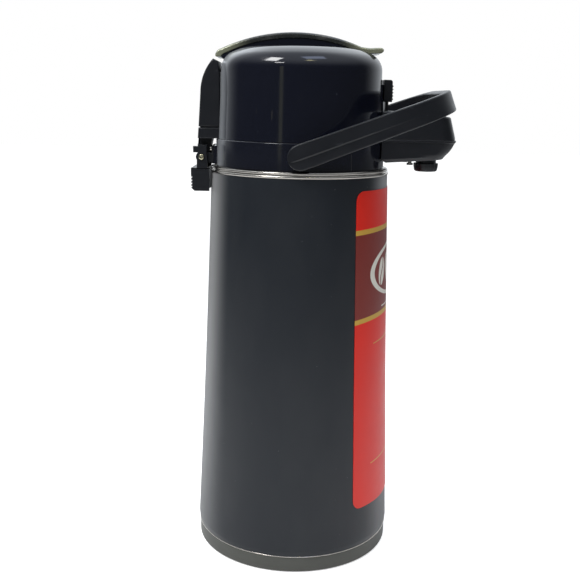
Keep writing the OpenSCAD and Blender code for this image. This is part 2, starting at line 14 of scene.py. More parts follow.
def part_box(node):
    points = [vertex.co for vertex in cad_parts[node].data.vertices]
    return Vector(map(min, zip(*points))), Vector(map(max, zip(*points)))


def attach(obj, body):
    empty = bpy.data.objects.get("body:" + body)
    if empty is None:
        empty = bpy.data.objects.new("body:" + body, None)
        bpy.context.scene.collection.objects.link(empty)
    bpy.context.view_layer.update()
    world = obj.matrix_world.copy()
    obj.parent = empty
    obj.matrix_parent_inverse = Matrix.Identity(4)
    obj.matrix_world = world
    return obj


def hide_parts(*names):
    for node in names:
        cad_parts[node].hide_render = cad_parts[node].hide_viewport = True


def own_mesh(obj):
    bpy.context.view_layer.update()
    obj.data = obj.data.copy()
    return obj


MM = 0.001
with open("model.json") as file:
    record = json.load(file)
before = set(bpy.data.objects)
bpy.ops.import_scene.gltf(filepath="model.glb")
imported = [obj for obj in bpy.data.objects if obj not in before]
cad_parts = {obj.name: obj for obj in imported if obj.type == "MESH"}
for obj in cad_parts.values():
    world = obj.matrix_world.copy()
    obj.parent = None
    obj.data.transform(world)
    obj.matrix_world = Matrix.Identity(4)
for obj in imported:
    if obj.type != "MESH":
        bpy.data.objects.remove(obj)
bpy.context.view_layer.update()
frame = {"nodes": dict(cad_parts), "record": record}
NODES = frame["nodes"]


# ---- places from the frame


def low(node):
    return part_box(node)[0] / MM


def high(node):
    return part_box(node)[1] / MM


def centre(node):
    return (low(node) + high(node)) / 2


def outer_profile(node):
    """The node's outline as seen from the side: its largest radius at each height, in mm."""
    widest = {}
    for v in NODES[node].data.vertices:
        z = round(v.co.z / MM, 2)
        widest[z] = max(widest.get(z, 0.0), math.hypot(v.co.x, v.co.y) / MM)
    return sorted(widest.items())


def radius_at(profile, z):
    """Straight interpolation in a list of (height, radius)."""
    for (z0, r0), (z1, r1) in zip(profile, profile[1:]):
        if z0 <= z <= z1:
            return r0 + (r1 - r0) * (z - z0) / (z1 - z0)
    return profile[0][1] if z < profile[0][0] else profile[-1][1]


def outside(node):
    """The outer part of the node's profile: the heights where it's at least as wide as near its top."""
    profile = outer_profile(node)
    top_r = profile[-1][1]
    return [(z, r) for z, r in profile if r > top_r - 1]


HINGE = centre("hinge_pin")
BAIL_PIVOT = centre("bail_studs")
NOZZLE = centre("nozzle")
STRAP_Y = high("lever_trim").y
SHELL = outside("shell")
SHELL_TOP_Z = high("shell").z
COLLAR_TOP_Z = high("collar").z
COLLAR_LOW_Z = low("collar").z
DOME_FOOT_Z = low("lid_dome").z
SPLIT_Z = high("spout_lower_cover").z

# The collar and the dome, in mm and degrees
COLLAR_R = 71.2
MOUTH_R = 28.0
DOME_WALL = 2.6
SHOULDER_R = 15
ROOF_R = 40
ROOF_ANGLE = 60
CHANNEL_Z = 410.8
CHANNEL_FALL = 3.34
CHANNEL_GAP = 1.4
PLUNGER_HOLE_R = 12.4

# The bail's level reach from its pivot, and the tilt it rests at
BAIL_REACH = 129.5
BAIL_TILT = math.radians(20.6)
BAIL_STUD_HOLE_R = 5.05

# The label's art: its bands' heights, how far they rise toward its centre, and the emblem
LABEL_R = 78
LABEL_HALF_ANGLE = math.radians(53)
LABEL_THICK = 0.4
LABEL_CORNER_R = 8.0
BAND_TOP = 286.4
BAND_LOW = 212.4
TOP_RISE = 2.0
LOW_RISE = 4.0
EMBLEM_Z = 251


# ---- outlines


def arc(x, y, r, start, end, steps=8):
    """Points of an arc in degrees."""
    angles = [math.radians(start + (end - start) * i / steps) for i in range(steps + 1)]
    return [(x + r * math.cos(a), y + r * math.sin(a)) for a in angles]


def fillet(points, radius, steps=4):
    """A closed outline with its corners rounded; radius is one number or one for each corner."""
    count = len(points)
    radii = radius if isinstance(radius, (list, tuple)) else [radius] * count
    out = []
    for i, here in enumerate(points):
        p = Vector(here)
        back = Vector(points[i - 1]) - p
        ahead = Vector(points[(i + 1) % count]) - p
        turn = back.angle(ahead)
        if radii[i] <= 0 or turn > math.radians(176):
            out.append(tuple(p))
            continue
        reach = min(radii[i] / math.tan(turn / 2), 0.48 * back.length, 0.48 * ahead.length)
        r = reach * math.tan(turn / 2)
        middle = p + (back.normalized() + ahead.normalized()).normalized() * (r / math.sin(turn / 2))
        a = p + back.normalized() * reach - middle
        b = p + ahead.normalized() * reach - middle
        sweep = a.angle_signed(b)
        for k in range(steps + 1):
            spin = Matrix.Rotation(-sweep * k / steps, 2)
            out.append(tuple(middle + spin @ a))
    return out


def inset(points, depth):
    """A closed outline moved inward by depth. The outline runs anticlockwise."""
    count = len(points)
    out = []
    for i, here in enumerate(points):
        p = Vector(here)
        before = (p - Vector(points[i - 1])).normalized()
        after = (Vector(points[(i + 1) % count]) - p).normalized()
        normal = Vector((-before.y - after.y, before.x + after.x))
        if normal.length < 1e-6:
            out.append(tuple(p))
            continue
        normal.normalize()
        lean = max(0.4, normal.dot(Vector((-before.y, before.x))))
        out.append(tuple(p + normal * (depth / lean)))
    return out


def anticlockwise(points):
    area = sum(a[0] * b[1] - b[0] * a[1] for a, b in zip(points, points[1:] + points[:1]))
    return list(points) if area > 0 else list(reversed(points))


# ---- meshes


def piece(name, verts, faces, body, material, stands_for=(), slot=None, crease=35):
    """A finished mesh piece from points in mm."""
    mesh = bpy.data.meshes.new(name)
    mesh.from_pydata([Vector(v) * MM for v in verts], [], faces)
    bm = bmesh.new()
    bm.from_mesh(mesh)
    bmesh.ops.remove_doubles(bm, verts=bm.verts, dist=0.002 * MM)
    bmesh.ops.dissolve_degenerate(bm, edges=bm.edges, dist=0.001 * MM)
    bmesh.ops.recalc_face_normals(bm, faces=bm.faces)
    bm.to_mesh(mesh)
    bm.free()
    mesh.shade_smooth()
    mesh.set_sharp_from_angle(angle=math.radians(crease))
    obj = bpy.data.objects.new(name, mesh)
    bpy.context.scene.collection.objects.link(obj)
    weighted = obj.modifiers.new("weighted_normals", "WEIGHTED_NORMAL")
    weighted.keep_sharp = True
    mesh.materials.append(material)
    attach(obj, body)
    if stands_for:
        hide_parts(*stands_for)
    return obj


def loft(rings, closed=False, caps=True):
    """Points and faces of a skin over rings with equal numbers of points."""
    count = len(rings[0])
    verts = [p for ring in rings for p in ring]
    faces = []
    last = len(rings) if closed else len(rings) - 1
    for i in range(last):
        j = (i + 1) % len(rings)
        for k in range(count):
            m = (k + 1) % count
            faces.append((i * count + k, i * count + m, j * count + m, j * count + k))
    if caps and not closed:
        faces.append(tuple(range(count - 1, -1, -1)))
        faces.append(tuple((len(rings) - 1) * count + k for k in range(count)))
    return verts, faces


def revolve(profile, segments=160, wave=None):
    """A closed outline of (radius, height) turned about the axis. wave changes a radius by its angle."""
    rings = []
    for i in range(segments):
        a = 2 * math.pi * i / segments
        ring = []
        for r, z in profile:
            rr = wave(r, z, a) if wave else r
            ring.append((rr * math.cos(a), rr * math.sin(a), z))
        rings.append(ring)
    return loft(rings, closed=True)


def turned(points, segments=160):
    """A solid turned about the axis from an open outline of (radius, height), bottom to top."""
    verts, faces, rows = [], [], []
    for r, z in points:
        if r == 0:
            rows.append([len(verts)] * segments)
            verts.append((0.0, 0.0, z))
            continue
        rows.append([len(verts) + k for k in range(segments)])
        angles = [2 * math.pi * k / segments for k in range(segments)]
        verts += [(r * math.cos(a), r * math.sin(a), z) for a in angles]
    for lower, upper in zip(rows, rows[1:]):
        for k in range(segments):
            m = (k + 1) % segments
            face = tuple(dict.fromkeys((lower[k], lower[m], upper[m], upper[k])))
            if len(face) > 2:
                faces.append(face)
    return verts, faces


def cylinder(r, z0, z1, segments=96):
    return turned([(0, z0), (r, z0), (r, z1), (0, z1)], segments)


def along_y(shape, x, z):
    """A shape made about the vertical axis, laid along Y through a place in X and Z."""
    verts, faces = shape
    return [(x + a, c, z - b) for a, b, c in verts], faces


def loose_object(shape):
    """A bare object in mm, for booleans."""
    verts, faces = shape
    mesh = bpy.data.meshes.new("loose")
    mesh.from_pydata(verts, [], faces)
    bm = bmesh.new()
    bm.from_mesh(mesh)
    bmesh.ops.remove_doubles(bm, verts=bm.verts, dist=0.001)
    bmesh.ops.recalc_face_normals(bm, faces=bm.faces)
    bm.to_mesh(mesh)
    bm.free()
    obj = bpy.data.objects.new("loose", mesh)
    bpy.context.scene.collection.objects.link(obj)
    return obj


def carved(shape, *tools):
    """One shape less the others, all closed."""
    base = loose_object(shape)
    cutters = [loose_object(t) for t in tools]
    for cutter in cutters:
        step = base.modifiers.new("cut", "BOOLEAN")
        step.operation = "DIFFERENCE"
        step.solver = "EXACT"
        step.object = cutter
    result = bpy.data.meshes.new_from_object(base.evaluated_get(bpy.context.evaluated_depsgraph_get()))
    verts = [tuple(v.co) for v in result.vertices]
    faces = [tuple(f.vertices) for f in result.polygons]
    bpy.data.meshes.remove(result)
    for obj in [base] + cutters:
        mesh = obj.data
        bpy.data.objects.remove(obj)
        bpy.data.meshes.remove(mesh)
    return verts, faces


def face_outline(node, y):
    """The largest outline, in X and Z, of the node's flat faces that lie at a given Y."""
    mesh = NODES[node].data
    edges = set()
    for face in mesh.polygons:
        points = [mesh.vertices[i].co / MM for i in face.vertices]
        if all(abs(p.y - y) < 0.03 for p in points):
            keys = [(round(p.x, 2), round(p.z, 2)) for p in points]
            for a, b in zip(keys, keys[1:] + keys[:1]):
                if (b, a) in edges:
                    edges.remove((b, a))
                elif a != b:
                    edges.add((a, b))
    ahead = dict(sorted(edges))
    loops = []
    while ahead:
        start, here = ahead.popitem()
        loop = [start]
        while here != start and here in ahead:
            loop.append(here)
            here = ahead.pop(here)
        loops.append(loop)

    def size(loop):
        xs, zs = zip(*loop)
        return (max(xs) - min(xs)) * (max(zs) - min(zs))

    return max(loops, key=size)


def above(points, z):
    """The part of a closed outline that lies above a height."""
    out = []
    for a, b in zip(points, points[1:] + points[:1]):
        if a[1] >= z:
            out.append(a)
        if (a[1] >= z) != (b[1] >= z):
            t = (z - a[1]) / (b[1] - a[1])
            out.append((a[0] + (b[0] - a[0]) * t, z))
    return out


def below(points, z):
    return [(x, -v) for x, v in above([(x, -v) for x, v in points], -z)]


def joined(*shapes):
    verts, faces = [], []
    for v, f in shapes:
        faces += [tuple(i + len(verts) for i in face) for face in f]
        verts += v
    return verts, faces


def slab(outline, start, end, edge, place, steps=3):
    """An outline drawn out from start to end with rounded rims. place turns (u, v, along) into a point."""
    outline = anticlockwise(outline)
    rings = []
    for k in range(steps + 1):
        t = math.pi / 2 * k / steps
        loop = inset(outline, edge * (1 - math.sin(t)))
        rings.append([place(u, v, start + edge * (1 - math.cos(t))) for u, v in loop])
    for k in range(steps + 1):
        t = math.pi / 2 * (1 - k / steps)
        loop = inset(outline, edge * (1 - math.sin(t)))
        rings.append([place(u, v, end - edge * (1 - math.cos(t))) for u, v in loop])
    return loft(rings)


def side_slab(outline, y0, y1, edge=0.5):
    """An outline in X and Z drawn out along Y."""
    return slab(outline, y0, y1, edge, lambda u, v, w: (u, w, v))


def both_sides(outline, y0, y1, edge=0.5):
    return joined(side_slab(outline, y0, y1, edge), side_slab(outline, -y1, -y0, edge))


# ---- material nodes


def new_material(slot, **settings):
    """A Principled material for one of the record's slots; settings go straight on its sockets."""
    mat = bpy.data.materials.new("look_" + slot)
    mat.use_nodes = True
    mat["slot"] = slot
    shader = mat.node_tree.nodes["Principled BSDF"]
    for name, value in settings.items():
        shader.inputs[name.replace("_", " ")].default_value = value
    return mat, mat.node_tree, shader


def add(tree, kind, inputs=None, **settings):
    node = tree.nodes.new(kind)
    for name, value in settings.items():
        setattr(node, name, value)
    for name, value in (inputs or {}).items():
        if isinstance(value, bpy.types.NodeSocket):
            tree.links.new(value, node.inputs[name])
        else:
            node.inputs[name].default_value = value
    return node


def calc(tree, operation, a, b=0.0, c=0.0):
    return add(tree, "ShaderNodeMath", {0: a, 1: b, 2: c}, operation=operation).outputs[0]


def times(tree, a, b):
    return calc(tree, "MULTIPLY", a, b)


def plus(tree, a, b):
    return calc(tree, "ADD", a, b)


def place_xyz(tree):
    """Sockets for X, Y and Z in the row frame, in metres."""
    where = add(tree, "ShaderNodeTexCoord").outputs["Object"]
    split = add(tree, "ShaderNodeSeparateXYZ", {"Vector": where})
    return split.outputs[0], split.outputs[1], split.outputs[2]


def noise(tree, size, stretch=(1, 1, 1), detail=3.0, rough=0.5):
    """Noise whose features are about size mm across, drawn out by stretch."""
    where = add(tree, "ShaderNodeTexCoord").outputs["Object"]
    scaled = add(tree, "ShaderNodeMapping", {"Vector": where, "Scale": [1 / s for s in stretch]})
    inputs = {"Vector": scaled.outputs[0], "Scale": 1 / (size * MM), "Detail": detail, "Roughness": rough}
    return add(tree, "ShaderNodeTexNoise", inputs).outputs["Fac"]


def specks(tree, spacing, radius, keep=1.0):
    """1 on small round specks, 0 elsewhere: one candidate each spacing mm, keep of them shown."""
    where = add(tree, "ShaderNodeTexCoord").outputs["Object"]
    cells = add(tree, "ShaderNodeTexVoronoi", {"Vector": where, "Scale": 1 / (spacing * MM)})
    near = calc(tree, "LESS_THAN", cells.outputs["Distance"], radius / spacing)
    tint = add(tree, "ShaderNodeSeparateColor", {"Color": cells.outputs["Color"]}).outputs[0]
    return times(tree, near, calc(tree, "LESS_THAN", tint, keep))


def band(tree, value, start, end, soft):
    """A soft step from 0 at start to 1 at end."""
    inputs = {"Value": value, "From Min": start, "From Max": end}
    mode = "SMOOTHSTEP" if soft else "LINEAR"
    return add(tree, "ShaderNodeMapRange", inputs, interpolation_type=mode).outputs[0]


def mix(tree, share, a, b):
    node = add(tree, "ShaderNodeMix", data_type="RGBA")
    for socket, value in zip((node.inputs["Factor"], node.inputs[6], node.inputs[7]), (share, a, b)):
        if isinstance(value, bpy.types.NodeSocket):
            tree.links.new(value, socket)
        else:
            socket.default_value = value
    return node.outputs[2]


def bump(tree, shader, height, depth):
    """Raises the surface by depth mm where height is 1."""
    node = add(tree, "ShaderNodeBump", {"Height": height, "Distance": depth * MM, "Strength": 1.0})
    tree.links.new(node.outputs[0], shader.inputs["Normal"])


def painted_rim_sheen(tree, start, end):
    """Painted sheen: 1 as the surface turns away from the view, a painted reflection of bright surroundings at
    the rim.
    """
    facing = add(tree, "ShaderNodeLayerWeight", {"Blend": 0.5}).outputs["Facing"]
    return band(tree, facing, start, end, True)


def grey(value, blue=1.0):
    return (value, value, value * blue, 1.0)


# ---- materials


def body_paint():
    """Satin charcoal enamel: orange-peel, dust specks, scuffs that gather near the foot, and a painted rim
    sheen that fades toward the foot.
    """
    gloss = {"Specular_IOR_Level": 0.42, "Coat_Weight": 0.08, "Coat_Roughness": 0.25}
    mat, tree, shader = new_material("body_paint", **gloss)
    z = place_xyz(tree)[2]
    cloud = noise(tree, 38, (1, 1, 2.4), 4)
    cloud = band(tree, cloud, 0.35, 0.7, True)
    base = mix(tree, cloud, (0.0075, 0.0100, 0.0145, 1), (0.0115, 0.0138, 0.0180, 1))
    foot = band(tree, z, 0.10, 0.02, True)
    scuff_noise = noise(tree, 5, (1.6, 1.6, 1), 6, 0.65)
    scuffs = band(tree, plus(tree, scuff_noise, times(tree, foot, 0.05)), 0.68, 0.80, True)
    base = mix(tree, times(tree, scuffs, 0.4), base, (0.06, 0.062, 0.064, 1))
    dust = calc(tree, "MAXIMUM", specks(tree, 13, 0.42, 0.35), specks(tree, 5, 0.2, 0.12))
    base = mix(tree, times(tree, dust, 0.6), base, (0.2, 0.2, 0.2, 1))
    # Painted sheen: the colour turns pale grey where the surface turns away, more near the top, standing in for
    # reflected light at the rims.
    sheen_and_film = times(tree, painted_rim_sheen(tree, 0.38, 0.78), band(tree, z, -0.15, 0.3, True))
    base = mix(tree, sheen_and_film, base, grey(0.25))
    tree.links.new(base, shader.inputs["Base Color"])
    rough = plus(tree, 0.34, times(tree, noise(tree, 12, (1, 1, 2), 4), 0.16))
    tree.links.new(plus(tree, rough, times(tree, scuffs, 0.15)), shader.inputs["Roughness"])
    bump(tree, shader, plus(tree, noise(tree, 0.9, detail=2), times(tree, scuffs, 0.6)), 0.012)
    return mat


def gloss_black():
    """Glossy black moulding with faint sink waves, dried drips and dust, and a painted sheen along its left
    rim.
    """
    gloss = {"Specular_IOR_Level": 0.5, "Coat_Weight": 0.15, "Coat_Roughness": 0.05}
    mat, tree, shader = new_material("gloss_black", **gloss)
    z = place_xyz(tree)[2]
    low_part = band(tree, z, 0.405, 0.365, True)
    drips = band(tree, noise(tree, 3.2, (1, 1, 9), 3), 0.66, 0.74, True)
    drips = times(tree, drips, low_part)
    dust = calc(tree, "MAXIMUM", specks(tree, 9, 0.38, 0.3), specks(tree, 3.4, 0.16, 0.18))
    base = mix(tree, noise(tree, 30), (0.0040, 0.0050, 0.0105, 1), (0.0062, 0.0070, 0.0125, 1))
    base = mix(tree, times(tree, drips, 0.3), base, (0.06, 0.055, 0.045, 1))
    base = mix(tree, times(tree, dust, 0.45), base, (0.12, 0.13, 0.15, 1))
    # Painted reflection: on the left side, pale grey where the surface turns away, standing in for a bright rim
    # reflection.
    left = band(tree, place_xyz(tree)[0], -0.02, -0.06, True)
    base = mix(tree, times(tree, painted_rim_sheen(tree, 0.5, 0.72), left), base, (0.22, 0.23, 0.245, 1))
    tree.links.new(base, shader.inputs["Base Color"])
    sheen_and_film = band(tree, noise(tree, 16, (1, 1, 2.5), 5, 0.6), 0.4, 0.75, True)
    rough = plus(tree, 0.075, times(tree, sheen_and_film, 0.10))
    tree.links.new(plus(tree, rough, times(tree, drips, 0.2)), shader.inputs["Roughness"])
    bump(tree, shader, noise(tree, 24, detail=1), 0.05)
    return mat


def satin_black():
    """Satin black ABS with a fine grain and pale handling scuffs."""
    mat, tree, shader = new_material("satin_black", Specular_IOR_Level=0.42)
    base = mix(tree, noise(tree, 14, detail=4), (0.0055, 0.0062, 0.0085, 1), (0.0105, 0.0115, 0.0145, 1))
    wear = band(tree, noise(tree, 5, (4, 1, 1), 5, 0.65), 0.64, 0.76, True)
    base = mix(tree, times(tree, wear, 0.35), base, (0.07, 0.075, 0.085, 1))
    dust = specks(tree, 5, 0.22, 0.2)
    base = mix(tree, times(tree, dust, 0.5), base, (0.15, 0.15, 0.16, 1))
    tree.links.new(base, shader.inputs["Base Color"])
    rough = plus(tree, 0.27, times(tree, noise(tree, 8, (3, 1, 1), 4), 0.2))
    tree.links.new(rough, shader.inputs["Roughness"])
    bump(tree, shader, noise(tree, 0.45, detail=2), 0.012)
    return mat


def base_plastic():
    """Duller, slightly olive moulded base with handling dust."""
    mat, tree, shader = new_material("base_plastic", Specular_IOR_Level=0.4)
    base = mix(tree, noise(tree, 18, (1, 1, 0.6), 5), (0.065, 0.066, 0.058, 1), (0.090, 0.091, 0.080, 1))
    dust = band(tree, noise(tree, 4, detail=6, rough=0.7), 0.62, 0.75, True)
    base = mix(tree, times(tree, dust, 0.4), base, (0.09, 0.088, 0.08, 1))
    tree.links.new(base, shader.inputs["Base Color"])
    tree.links.new(plus(tree, 0.42, times(tree, dust, 0.25)), shader.inputs["Roughness"])
    bump(tree, shader, noise(tree, 0.6, detail=2), 0.02)
    return mat


def lever_trim():
    """Smoked, slightly green cap, rubbed grey where hands press it, with its ends painted lighter olive as a
    painted reflection.
    """
    mat, tree, shader = new_material("lever_trim", Coat_Weight=0.5, Coat_Roughness=0.12, Metallic=0.35)
    x = place_xyz(tree)[0]
    # Painted reflection: both ends of the cap turn lighter olive-green, standing in for the surroundings they
    # reflect.
    ends = calc(tree, "MAXIMUM", band(tree, x, 0.030, 0.050, True), band(tree, x, -0.040, -0.062, True))
    rubbed = band(tree, noise(tree, 9, (2.5, 1, 1), 5, 0.6), 0.42, 0.68, True)
    base = mix(tree, rubbed, (0.026, 0.028, 0.027, 1), (0.085, 0.084, 0.080, 1))
    base = mix(tree, times(tree, ends, 0.8), base, (0.25, 0.26, 0.18, 1))
    tree.links.new(base, shader.inputs["Base Color"])
    tree.links.new(plus(tree, 0.25, times(tree, rubbed, 0.2)), shader.inputs["Roughness"])
    bump(tree, shader, noise(tree, 1.5, (6, 1, 1), 3), 0.01)
    return mat


def stainless():
    """Warm polished stainless with fine turning lines round it."""
    mat, tree, shader = new_material("stainless", Metallic=1.0, Anisotropic=0.3)
    lines = noise(tree, 0.35, (20, 20, 1), 3)
    base = mix(tree, noise(tree, 22, detail=3), (0.44, 0.41, 0.37, 1), (0.60, 0.57, 0.53, 1))
    tree.links.new(base, shader.inputs["Base Color"])
    tree.links.new(plus(tree, 0.14, times(tree, lines, 0.14)), shader.inputs["Roughness"])
    bump(tree, shader, lines, 0.004)
    return mat


def pin_metal():
    """Yellow passivated steel pin."""
    mat, tree, shader = new_material("pin_metal", Metallic=1.0)
    base = mix(tree, noise(tree, 2, detail=4), (0.62, 0.56, 0.34, 1), (0.80, 0.77, 0.60, 1))
    tree.links.new(base, shader.inputs["Base Color"])
    rough = plus(tree, 0.16, times(tree, noise(tree, 1), 0.18))
    tree.links.new(rough, shader.inputs["Roughness"])
    return mat


def soft_part(slot, dark, light, rough, size, depth, **settings):
    """A rubbery or cloudy material that varies between two colours."""
    mat, tree, shader = new_material(slot, **settings)
    tree.links.new(mix(tree, noise(tree, size, detail=5), dark, light), shader.inputs["Base Color"])
    uneven = plus(tree, rough, times(tree, noise(tree, size / 3), 0.2))
    tree.links.new(uneven, shader.inputs["Roughness"])
    bump(tree, shader, noise(tree, size / 12, detail=3), depth)
    return mat


def label_print():
    """Printed label: red field, a dark band between gold stripes, and a plain oval with coffee beans."""
    mat, tree, shader = new_material("label", Specular_IOR_Level=0.4, Coat_Weight=0.05, Coat_Roughness=0.2)
    x, y, z = place_xyz(tree)
    turn = calc(tree, "ARCTAN2", y, x)
    along = times(tree, turn, LABEL_R * MM)
    arch = calc(tree, "COSINE", times(tree, turn, 1.6))

    def over(middle, rise):
        """Height above a line that rises toward the label's centre."""
        height = calc(tree, "SUBTRACT", z, middle * MM)
        return calc(tree, "SUBTRACT", height, times(tree, arch, rise * MM))

    def stripe(middle, width, start=-1.0, rise=0.0):
        across = calc(tree, "ABSOLUTE", over(middle, rise))
        line = band(tree, across, (width / 2 + 0.15) * MM, (width / 2 - 0.15) * MM, False)
        return times(tree, line, calc(tree, "GREATER_THAN", turn, start))

    def oval(centre_x, centre_z, half_w, half_h, tilt=0.0):
        """How far out of an oval a point is: 1 on its edge."""
        u = calc(tree, "SUBTRACT", along, centre_x * MM)
        v = calc(tree, "SUBTRACT", z, centre_z * MM)
        c, s = math.cos(math.radians(tilt)), math.sin(math.radians(tilt))
        uu = plus(tree, times(tree, u, c), times(tree, v, s))
        vv = calc(tree, "SUBTRACT", times(tree, v, c), times(tree, u, s))
        a = calc(tree, "POWER", calc(tree, "DIVIDE", uu, half_w * MM), 2.0)
        b = calc(tree, "POWER", calc(tree, "DIVIDE", vv, half_h * MM), 2.0)
        return calc(tree, "SQRT", plus(tree, a, b)), uu, vv

    def bean(centre_x, centre_z, half_w, half_h, tilt):
        """A coffee bean: an oval with a wavy slit down it."""
        out, u, v = oval(centre_x, centre_z, half_w, half_h, tilt)
        wave = calc(tree, "SINE", times(tree, v, math.pi / (half_h * MM)))
        middle = times(tree, wave, 0.22 * half_w * MM)
        off = calc(tree, "ABSOLUTE", calc(tree, "SUBTRACT", u, middle))
        slit = calc(tree, "LESS_THAN", off, 0.13 * half_w * MM)
        return times(tree, calc(tree, "LESS_THAN", out, 1.0), calc(tree, "SUBTRACT", 1.0, slit))

    red = mix(tree, noise(tree, 60, detail=2), (0.70, 0.015, 0.006, 1), (0.80, 0.022, 0.009, 1))
    dark = mix(tree, noise(tree, 45, detail=3), (0.185, 0.022, 0.016, 1), (0.225, 0.034, 0.026, 1))
    above_low = calc(tree, "GREATER_THAN", over(BAND_LOW, LOW_RISE), 0.0)
    inside = times(tree, above_low, calc(tree, "LESS_THAN", over(BAND_TOP, TOP_RISE), 0.0))
    colour = mix(tree, inside, red, dark)
    gold = (0.60, 0.36, 0.055, 1)
    lines = stripe(BAND_TOP, 4.0, -1.0, TOP_RISE)
    for middle, width, start in ((BAND_LOW, 4.0, -1.0), (BAND_LOW - 23, 0.7, -0.62), (84, 0.7, -0.66)):
        lines = calc(tree, "MAXIMUM", lines, stripe(middle, width, start, LOW_RISE))
    colour = mix(tree, lines, colour, gold)
    out = oval(0, EMBLEM_Z, 54, 23.5)[0]
    white = band(tree, calc(tree, "ABSOLUTE", calc(tree, "SUBTRACT", out, 0.94)), 0.066, 0.058, False)
    beans = ((-33, 0, 6.5, 12, -12), (-14, 1, 8, 14, 14), (9, -1, 8, 14, -16), (30, 0, 6.5, 12, 12))
    for bean_x, lift, half_w, half_h, tilt in beans:
        white = calc(tree, "MAXIMUM", white, bean(bean_x, EMBLEM_Z + lift, half_w, half_h, tilt))
    white = calc(tree, "MAXIMUM", white, stripe(EMBLEM_Z - 30, 1.1, -0.42))
    colour = mix(tree, white, colour, (0.78, 0.75, 0.66, 1))
    tree.links.new(colour, shader.inputs["Base Color"])
    rough = plus(tree, 0.30, times(tree, noise(tree, 9, detail=4), 0.15))
    tree.links.new(rough, shader.inputs["Roughness"])
    bump(tree, shader, noise(tree, 0.5, detail=2), 0.006)
    return mat


LOOKS = {
    "body_paint": body_paint(),
    "gloss_black": gloss_black(),
    "satin_black": satin_black(),
    "base_plastic": base_plastic(),
    "lever_trim": lever_trim(),
    "stainless": stainless(),
    "pin_metal": pin_metal(),
    "rubber": soft_part("rubber", grey(0.012), grey(0.03), 0.6, 8, 0.02, Specular_IOR_Level=0.3),
    "silicone": soft_part(
        "silicone", (0.55, 0.53, 0.48, 1), (0.68, 0.66, 0.6, 1), 0.35, 10, 0.01, Subsurface_Weight=0.1
    ),
    "glass": soft_part("glass", (0.62, 0.66, 0.70, 1), (0.80, 0.83, 0.86, 1), 0.03, 25, 0.01, Metallic=0.9),
    "clear_plastic": soft_part(
        "clear_plastic", (0.6, 0.62, 0.6, 1), (0.75, 0.77, 0.74, 1), 0.2, 15, 0.005, Transmission_Weight=0.5
    ),
    "label": label_print(),
}
SLOT_OF = {}
for entry in frame["record"]["materials"]:
    for node in entry.get("nodes", []):
        SLOT_OF[node] = entry["slot"]


def finish_cad():
    """The frame's own parts take the same materials as the pieces."""
    for name, obj in NODES.items():
        old = obj.data.materials[0].name.split(".")[0] if obj.data.materials else ""
        slot = SLOT_OF.get(name, old)
        obj.data.materials.clear()
        obj.data.materials.append(LOOKS[slot])


finish_cad()


# ---- body


def shell_piece():
    """The steel shell's skin."""
    wall = 0.8
    outer = [(r, z) for z, r in SHELL]
    inner = [(r - wall, z) for r, z in reversed(outer)]
    piece("shell_skin", *revolve(outer + inner, 220), "pot", LOOKS["body_paint"], ["shell"], crease=50)


def ring_piece():
    """The two-beaded stainless ring between the shell and the collar."""
    r = high("top_trim_ring").x
    z = SHELL_TOP_Z
    profile = (
        [(r - 3, z - 1.5), (r - 1.7, z - 1), (r - 1.4, z + 0.05)]
        + arc(r - 1.25, z + 1.35, 1.25, -80, 75, 8)
        + arc(r - 1.75, z + 4.1, 1.15, -55, 80, 7)
        + [(r - 3, z + 5.75), (r - 8, z + 5.9), (r - 8, z + 4.6)]
    )
    piece("trim_ring_beads", *revolve(profile, 200), "pot", LOOKS["stainless"], ["top_trim_ring"])


def base_piece():
    """The base's shell, the bright line above it and the grooved rubber foot."""
    r = high("base_cover").x
    z0, z1 = low("base_cover").z, high("base_cover").z
    opening_r, floor_z, deck_z, round_r, wall = 22, 5, 8, 1.6, 4.7
    foot = [(opening_r, floor_z), (r - 7.7, floor_z), (r - 7.3, z0 + 0.4), (r - 6.9, z0), (r - round_r, z0)]
    skirt = arc(r - round_r, z0 + round_r, round_r, -80, 0, 6)
    skirt += [(r, z1 - 0.5), (r - 0.3, z1 - 0.1), (r - 0.7, z1)]
    inner = [(r - wall, z1), (r - wall, deck_z), (opening_r, deck_z)]
    piece("base_shell", *revolve(foot + skirt + inner, 200), "pot", LOOKS["base_plastic"], ["base_cover"])
    line_r = high("bottom_trim_ring").x
    z2 = low("bottom_trim_ring").z
    bead = arc(line_r - 0.35, z2 + 0.5, 0.5, -90, 90, 6) + [(line_r - 4, z2 + 1), (line_r - 4, z2)]
    piece("base_line", *revolve(bead, 200), "pot", LOOKS["stainless"], ["bottom_trim_ring"])
    out_r, top = high("foot_ring").x, high("foot_ring").z
    in_r = out_r - 7
    tread = [(in_r, top), (in_r, 0.8), (in_r + 0.8, 0), (in_r + 2.6, 0), (in_r + 3, 0.5), (in_r + 4, 0.5),
             (in_r + 4.4, 0), (out_r - 0.8, 0), (out_r, 0.8), (out_r, top)]
    piece("foot_tread", *revolve(tread, 160), "pot", LOOKS["rubber"], ["foot_ring"])


